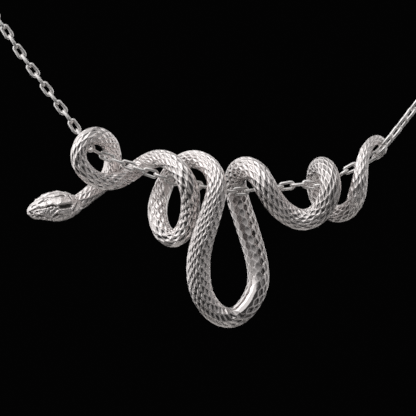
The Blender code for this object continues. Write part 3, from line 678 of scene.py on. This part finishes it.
# Both ends are rounded
for end, way in ((TAIL_START, 1), (snake_length, -1)):
    radius = np.interp(end, snake_reach, tail_frame[:, RADIUS])
    inward = ((snake_reach - end) * way / radius).clip(END_OPENING, 1)
    tail_frame[:, RADIUS] *= np.sqrt(1 - (1 - inward) ** 2)
tail = scaly_skin("snake_tail", TAIL_START, snake_length, TAIL_ROWS, TAIL_SCALE_LENGTH,
                  relief=TAIL_RELIEF, seed=TAIL_SEED, line_frame=tail_frame)
tail.data.materials.append(cast_silver)
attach(tail, "pendant")
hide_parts("snake")

# Chain
# A fine cable chain of oval links, bent from round silver wire, soldered and polished. Each link
# stands a quarter turn to the next, and on the right they turn over and show their holes.
LINK_LENGTH = 2.6 * MM
LINK_WIDTH = 1.47 * MM
WIRE = 0.5 * MM
LINK_SIDES = 14                 # sides round a link
LINK_BITE = 0.14 * MM           # where two links meet, their wires overlap by this much
LINK_PITCH = LINK_LENGTH - 2 * WIRE + LINK_BITE
COUNT_FROM = 4                  # link 0 is the one at this row of the route below
FIRST_LINK = -12                # the first and last link of the front piece
LAST_LINK = 35
TURNED_FROM = 26                # the links turn over between these two, by LINK_TURN
TURNED_BY = 30
LINK_TURN = math.radians(45)
NECK_HALF_WIDTH = 62.8 * MM
LAST_LINK_OUT = 4.3 * MM        # from the clasp's middle to the middle of the link in its eye
CHAIN_COLOUR = (0.945, 0.915, 0.90)

# The chain's route through the snake and up to the right, seen from the front.
# Columns: across and up, as shares of the pendant's width and height.
FRONT_ROUTE = [
    (-0.664, 0.715), (-0.608, 0.562), (-0.552, 0.425), (-0.496, 0.291), (-0.455, 0.194),
    (-0.435, 0.135), (-0.412, 0.087), (-0.398, 0.065), (-0.384, 0.055), (-0.361, 0.042),
    (-0.340, 0.018), (-0.309, 0.003), (-0.279, -0.017), (-0.243, -0.040), (-0.212, -0.055),
    (-0.186, -0.075), (-0.149, -0.090), (-0.111, -0.100), (-0.087, -0.113), (-0.048, -0.125),
    (-0.012, -0.132), (0.008, -0.132), (0.034, -0.127), (0.087, -0.117), (0.137, -0.105),
    (0.170, -0.098), (0.202, -0.096), (0.233, -0.105), (0.261, -0.087), (0.282, -0.059),
    (0.297, -0.039), (0.317, -0.018), (0.345, 0.005), (0.373, 0.033), (0.395, 0.062),
    (0.412, 0.095), (0.429, 0.130), (0.447, 0.171), (0.468, 0.219), (0.489, 0.268),
    (0.505, 0.305), (0.576, 0.463), (0.664, 0.687),
]

# The chain's route round the neck, the same on both sides, from the front to the clasp.
# Columns: out, forward and down, as shares of the half width, the reach and the drop.
NECK_ROUTE = [
    (0.658, 0.989, 0.708), (0.761, 0.949, 0.599), (0.868, 0.874, 0.470), (0.955, 0.757, 0.342),
    (1.000, 0.620, 0.228), (0.984, 0.500, 0.152), (0.908, 0.364, 0.088), (0.772, 0.229, 0.046),
    (0.589, 0.112, 0.021), (0.358, 0.034, 0.007), (0.180, 0.007, 0.001), (0.000, 0.000, 0.000),
]


def neck_points(side):
    return [(side * out * NECK_HALF_WIDTH, -forward * REACH, -down * DROP)
            for out, forward, down in NECK_ROUTE]


chain_line = smooth_line(neck_points(-1)[::-1] + [front_point(across, up) for across, up in FRONT_ROUTE]
                         + neck_points(1))
chain_reach = distances(chain_line)
link_zero = chain_reach[np.argmin(np.linalg.norm(chain_line - front_point(*FRONT_ROUTE[COUNT_FROM]), axis=1))]

# One link: a ring of wire, whose left and right halves are moved apart to make it an oval
bpy.ops.object.select_all(action="DESELECT")
bpy.ops.mesh.primitive_torus_add(major_segments=LINK_SIDES, minor_segments=7, minor_radius=WIRE / 2,
                                 major_radius=(LINK_WIDTH - WIRE) / 2,
                                 rotation=(0, 0, math.pi / LINK_SIDES))
link = bpy.context.active_object
bpy.ops.object.transform_apply(location=True, rotation=True, scale=True)
for side in (-1, 1):
    bpy.ops.object.mode_set(mode="EDIT")
    bpy.ops.mesh.select_all(action="DESELECT")
    bpy.ops.object.mode_set(mode="OBJECT")
    for vertex in link.data.vertices:
        vertex.select = vertex.co.x * side > 0
    bpy.ops.object.mode_set(mode="EDIT")
    bpy.ops.transform.translate(value=(side * (LINK_LENGTH - LINK_WIDTH) / 2, 0, 0))
    bpy.ops.object.mode_set(mode="OBJECT")
bpy.ops.object.shade_smooth()


def link_turn(number):
    """How far this link is turned about the chain: each stands across the last."""
    over = (number - TURNED_FROM) / (TURNED_BY - TURNED_FROM)
    return math.pi / 2 * (number % 2) + LINK_TURN * min(max(over, 0), 1)


def lay_links(name, node, places, turns, material):
    """Copies the link to each place along the chain, and joins the copies into one piece."""
    copies = []
    for place, turn in zip(places, turns):
        ends = read_line(chain_line, chain_reach, np.array([place - LINK_PITCH / 2, place + LINK_PITCH / 2]))
        along = Vector(ends[1] - ends[0]).normalized()
        flat = along.cross(Vector((0, -1, 0))).normalized()
        wide = Matrix.Rotation(turn, 3, along) @ flat
        stand = Matrix((along, wide, along.cross(wide))).transposed().to_4x4()
        copy = link.copy()
        copy.data = link.data.copy()
        copy.data.transform(Matrix.Translation(Vector((ends[0] + ends[1]) / 2)) @ stand)
        bpy.context.collection.objects.link(copy)
        copies.append(copy)
    bpy.ops.object.select_all(action="DESELECT")
    for copy in copies:
        copy.select_set(True)
    bpy.context.view_layer.objects.active = copies[0]
    bpy.ops.object.join()
    piece = bpy.context.active_object
    piece.name = name
    piece.data.materials.append(material)
    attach(piece, "root")
    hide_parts(node)


chain_silver = silver("chain_silver", CHAIN_COLOUR, roughness=0.38, grain=0.08)
shown = range(FIRST_LINK, LAST_LINK + 1)
lay_links("chain_front_links", "chain_front", [link_zero + number * LINK_PITCH for number in shown],
          [link_turn(number) for number in shown], chain_silver)
# The hidden links run from the last that shows to the clasp's eye, where the last stands through it
for name, node, from_link, way, end in (
        ("chain_left_links", "chain_left", FIRST_LINK, -1, LAST_LINK_OUT),
        ("chain_right_links", "chain_right", LAST_LINK, 1, chain_reach[-1] - LAST_LINK_OUT)):
    start = link_zero + from_link * LINK_PITCH
    count = round(abs(end - start) / LINK_PITCH)
    last_turn = link_turn(from_link + way * count)
    turn_left = (math.pi / 2 - last_turn + math.pi / 2) % math.pi - math.pi / 2
    lay_links(name, node, [start + (end - start) * k / count for k in range(1, count + 1)],
              [link_turn(from_link + way * k) + turn_left * k / count for k in range(1, count + 1)],
              chain_silver)
bpy.data.objects.remove(link, do_unlink=True)

# Clasp
# A plain round silver ring at the back of the neck, finished as the chain is. An eye of thinner wire
# is soldered on each side of it, and the chain's last link stands through the eye.
CLASP_RING = 5.6 * MM
CLASP_TUBE = 1.3 * MM
CLASP_EYE = 2.2 * MM
CLASP_EYE_WIRE = 0.6 * MM
EYE_BITE = 1.5 * CLASP_EYE_WIRE                 # how far the eye is let into the ring
EYE_OUT = CLASP_RING / 2 + CLASP_EYE / 2 - EYE_BITE

bpy.ops.object.select_all(action="DESELECT")
eyes = []
for side in (-1, 1):
    bpy.ops.mesh.primitive_torus_add(major_segments=36, minor_segments=18, minor_radius=CLASP_EYE_WIRE / 2,
                                     major_radius=(CLASP_EYE - CLASP_EYE_WIRE) / 2,
                                     location=(side * EYE_OUT, 0, 0), rotation=(math.pi / 2, 0, 0))
    eyes.append(bpy.context.active_object)
bpy.ops.mesh.primitive_torus_add(major_segments=96, minor_segments=36, minor_radius=CLASP_TUBE / 2,
                                 major_radius=(CLASP_RING - CLASP_TUBE) / 2, rotation=(math.pi / 2, 0, 0))
clasp = bpy.context.active_object
clasp.name = "clasp_ring"
for eye in eyes:
    fuse = clasp.modifiers.new("fuse", "BOOLEAN")
    fuse.operation = "UNION"
    fuse.object = eye
    bpy.ops.object.modifier_apply(modifier="fuse")
    bpy.data.objects.remove(eye, do_unlink=True)
bpy.ops.object.transform_apply(location=True, rotation=True, scale=True)
bpy.ops.object.shade_smooth()
clasp.data.materials.append(chain_silver)
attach(clasp, "root")
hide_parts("clasp")

# Floor and light
# A pale floor far below the necklace, lit by a lamp of its own, large soft lamps round it, and a faint
# broad one behind the camera, so that what faces the camera mirrors a dim room.
FLOOR_COLOUR = (0.84, 0.83, 0.81)
FLOOR_ROUGHNESS = 0.7
FLOOR_RADIUS = 1.2
FLOOR_DOWN = 1.2                # from the clasp down to the floor, in metres
ROOM_COLOUR = (0.001, 0.001, 0.001)             # the room is all but black, so that only the lamps show

floor_material = bpy.data.materials.new("pale_floor")
floor_material.use_nodes = True
floor_shader = floor_material.node_tree.nodes["Principled BSDF"]
floor_shader.inputs["Base Color"].default_value = (*FLOOR_COLOUR, 1)
floor_shader.inputs["Roughness"].default_value = FLOOR_ROUGHNESS
bpy.ops.object.select_all(action="DESELECT")
bpy.ops.mesh.primitive_circle_add(vertices=96, radius=FLOOR_RADIUS, fill_type="NGON",
                                  location=(0, 0, -FLOOR_DOWN))
floor = bpy.context.active_object
floor.name = "floor"
floor.data.materials.append(floor_material)

world = bpy.data.worlds.new("studio")
world.use_nodes = True
world.node_tree.nodes["Background"].inputs["Color"].default_value = (*ROOM_COLOUR, 1)
bpy.context.scene.world = world

# Every lamp is aimed at the pendant's middle, but for the floor's own, which is aimed straight down.
# Columns: name, then right, back and up from that middle in metres, width, height, watts.
LAMPS = [
    ("left_lamp", -0.37, 0.03, 0.14, 1.05, 0.80, 2.4),
    ("front_lamp", -0.14, -0.30, 0.28, 0.60, 0.40, 0.50),
    ("right_lamp", 0.40, -0.02, 0.04, 0.90, 0.70, 0.52),
    ("top_lamp", -0.04, -0.05, 0.42, 0.70, 0.60, 0.85),
    ("back_lamp", 0.10, 0.36, 0.25, 0.40, 0.30, 0.20),
    ("floor_lamp", 0.00, 0.10, -0.30, 1.20, 1.20, 4.6),
    ("rim_lamp", 0.32, 0.28, 0.08, 0.40, 0.40, 0.28),
    ("room_light", 0.00, -0.75, 0.00, 1.60, 1.20, 0.22),
]
PENDANT_MIDDLE = Vector((-4 * MM, -REACH, -DROP - 6 * MM))

for name, right, back, rise, width, height, watts in LAMPS:
    lamp = bpy.data.lights.new(name, "AREA")
    lamp.shape = "RECTANGLE"
    lamp.size, lamp.size_y = width, height
    lamp.energy = watts
    holder = bpy.data.objects.new(name, lamp)
    bpy.context.collection.objects.link(holder)
    holder.location = PENDANT_MIDDLE + Vector((right, back, rise))
    aim = PENDANT_MIDDLE - holder.location
    if name == "floor_lamp":
        aim = Vector((0, 0, -1))
    holder.rotation_euler = aim.to_track_quat("-Z", "Y").to_euler()
    holder.visible_camera = False

bpy.context.scene.view_settings.view_transform = "Standard"
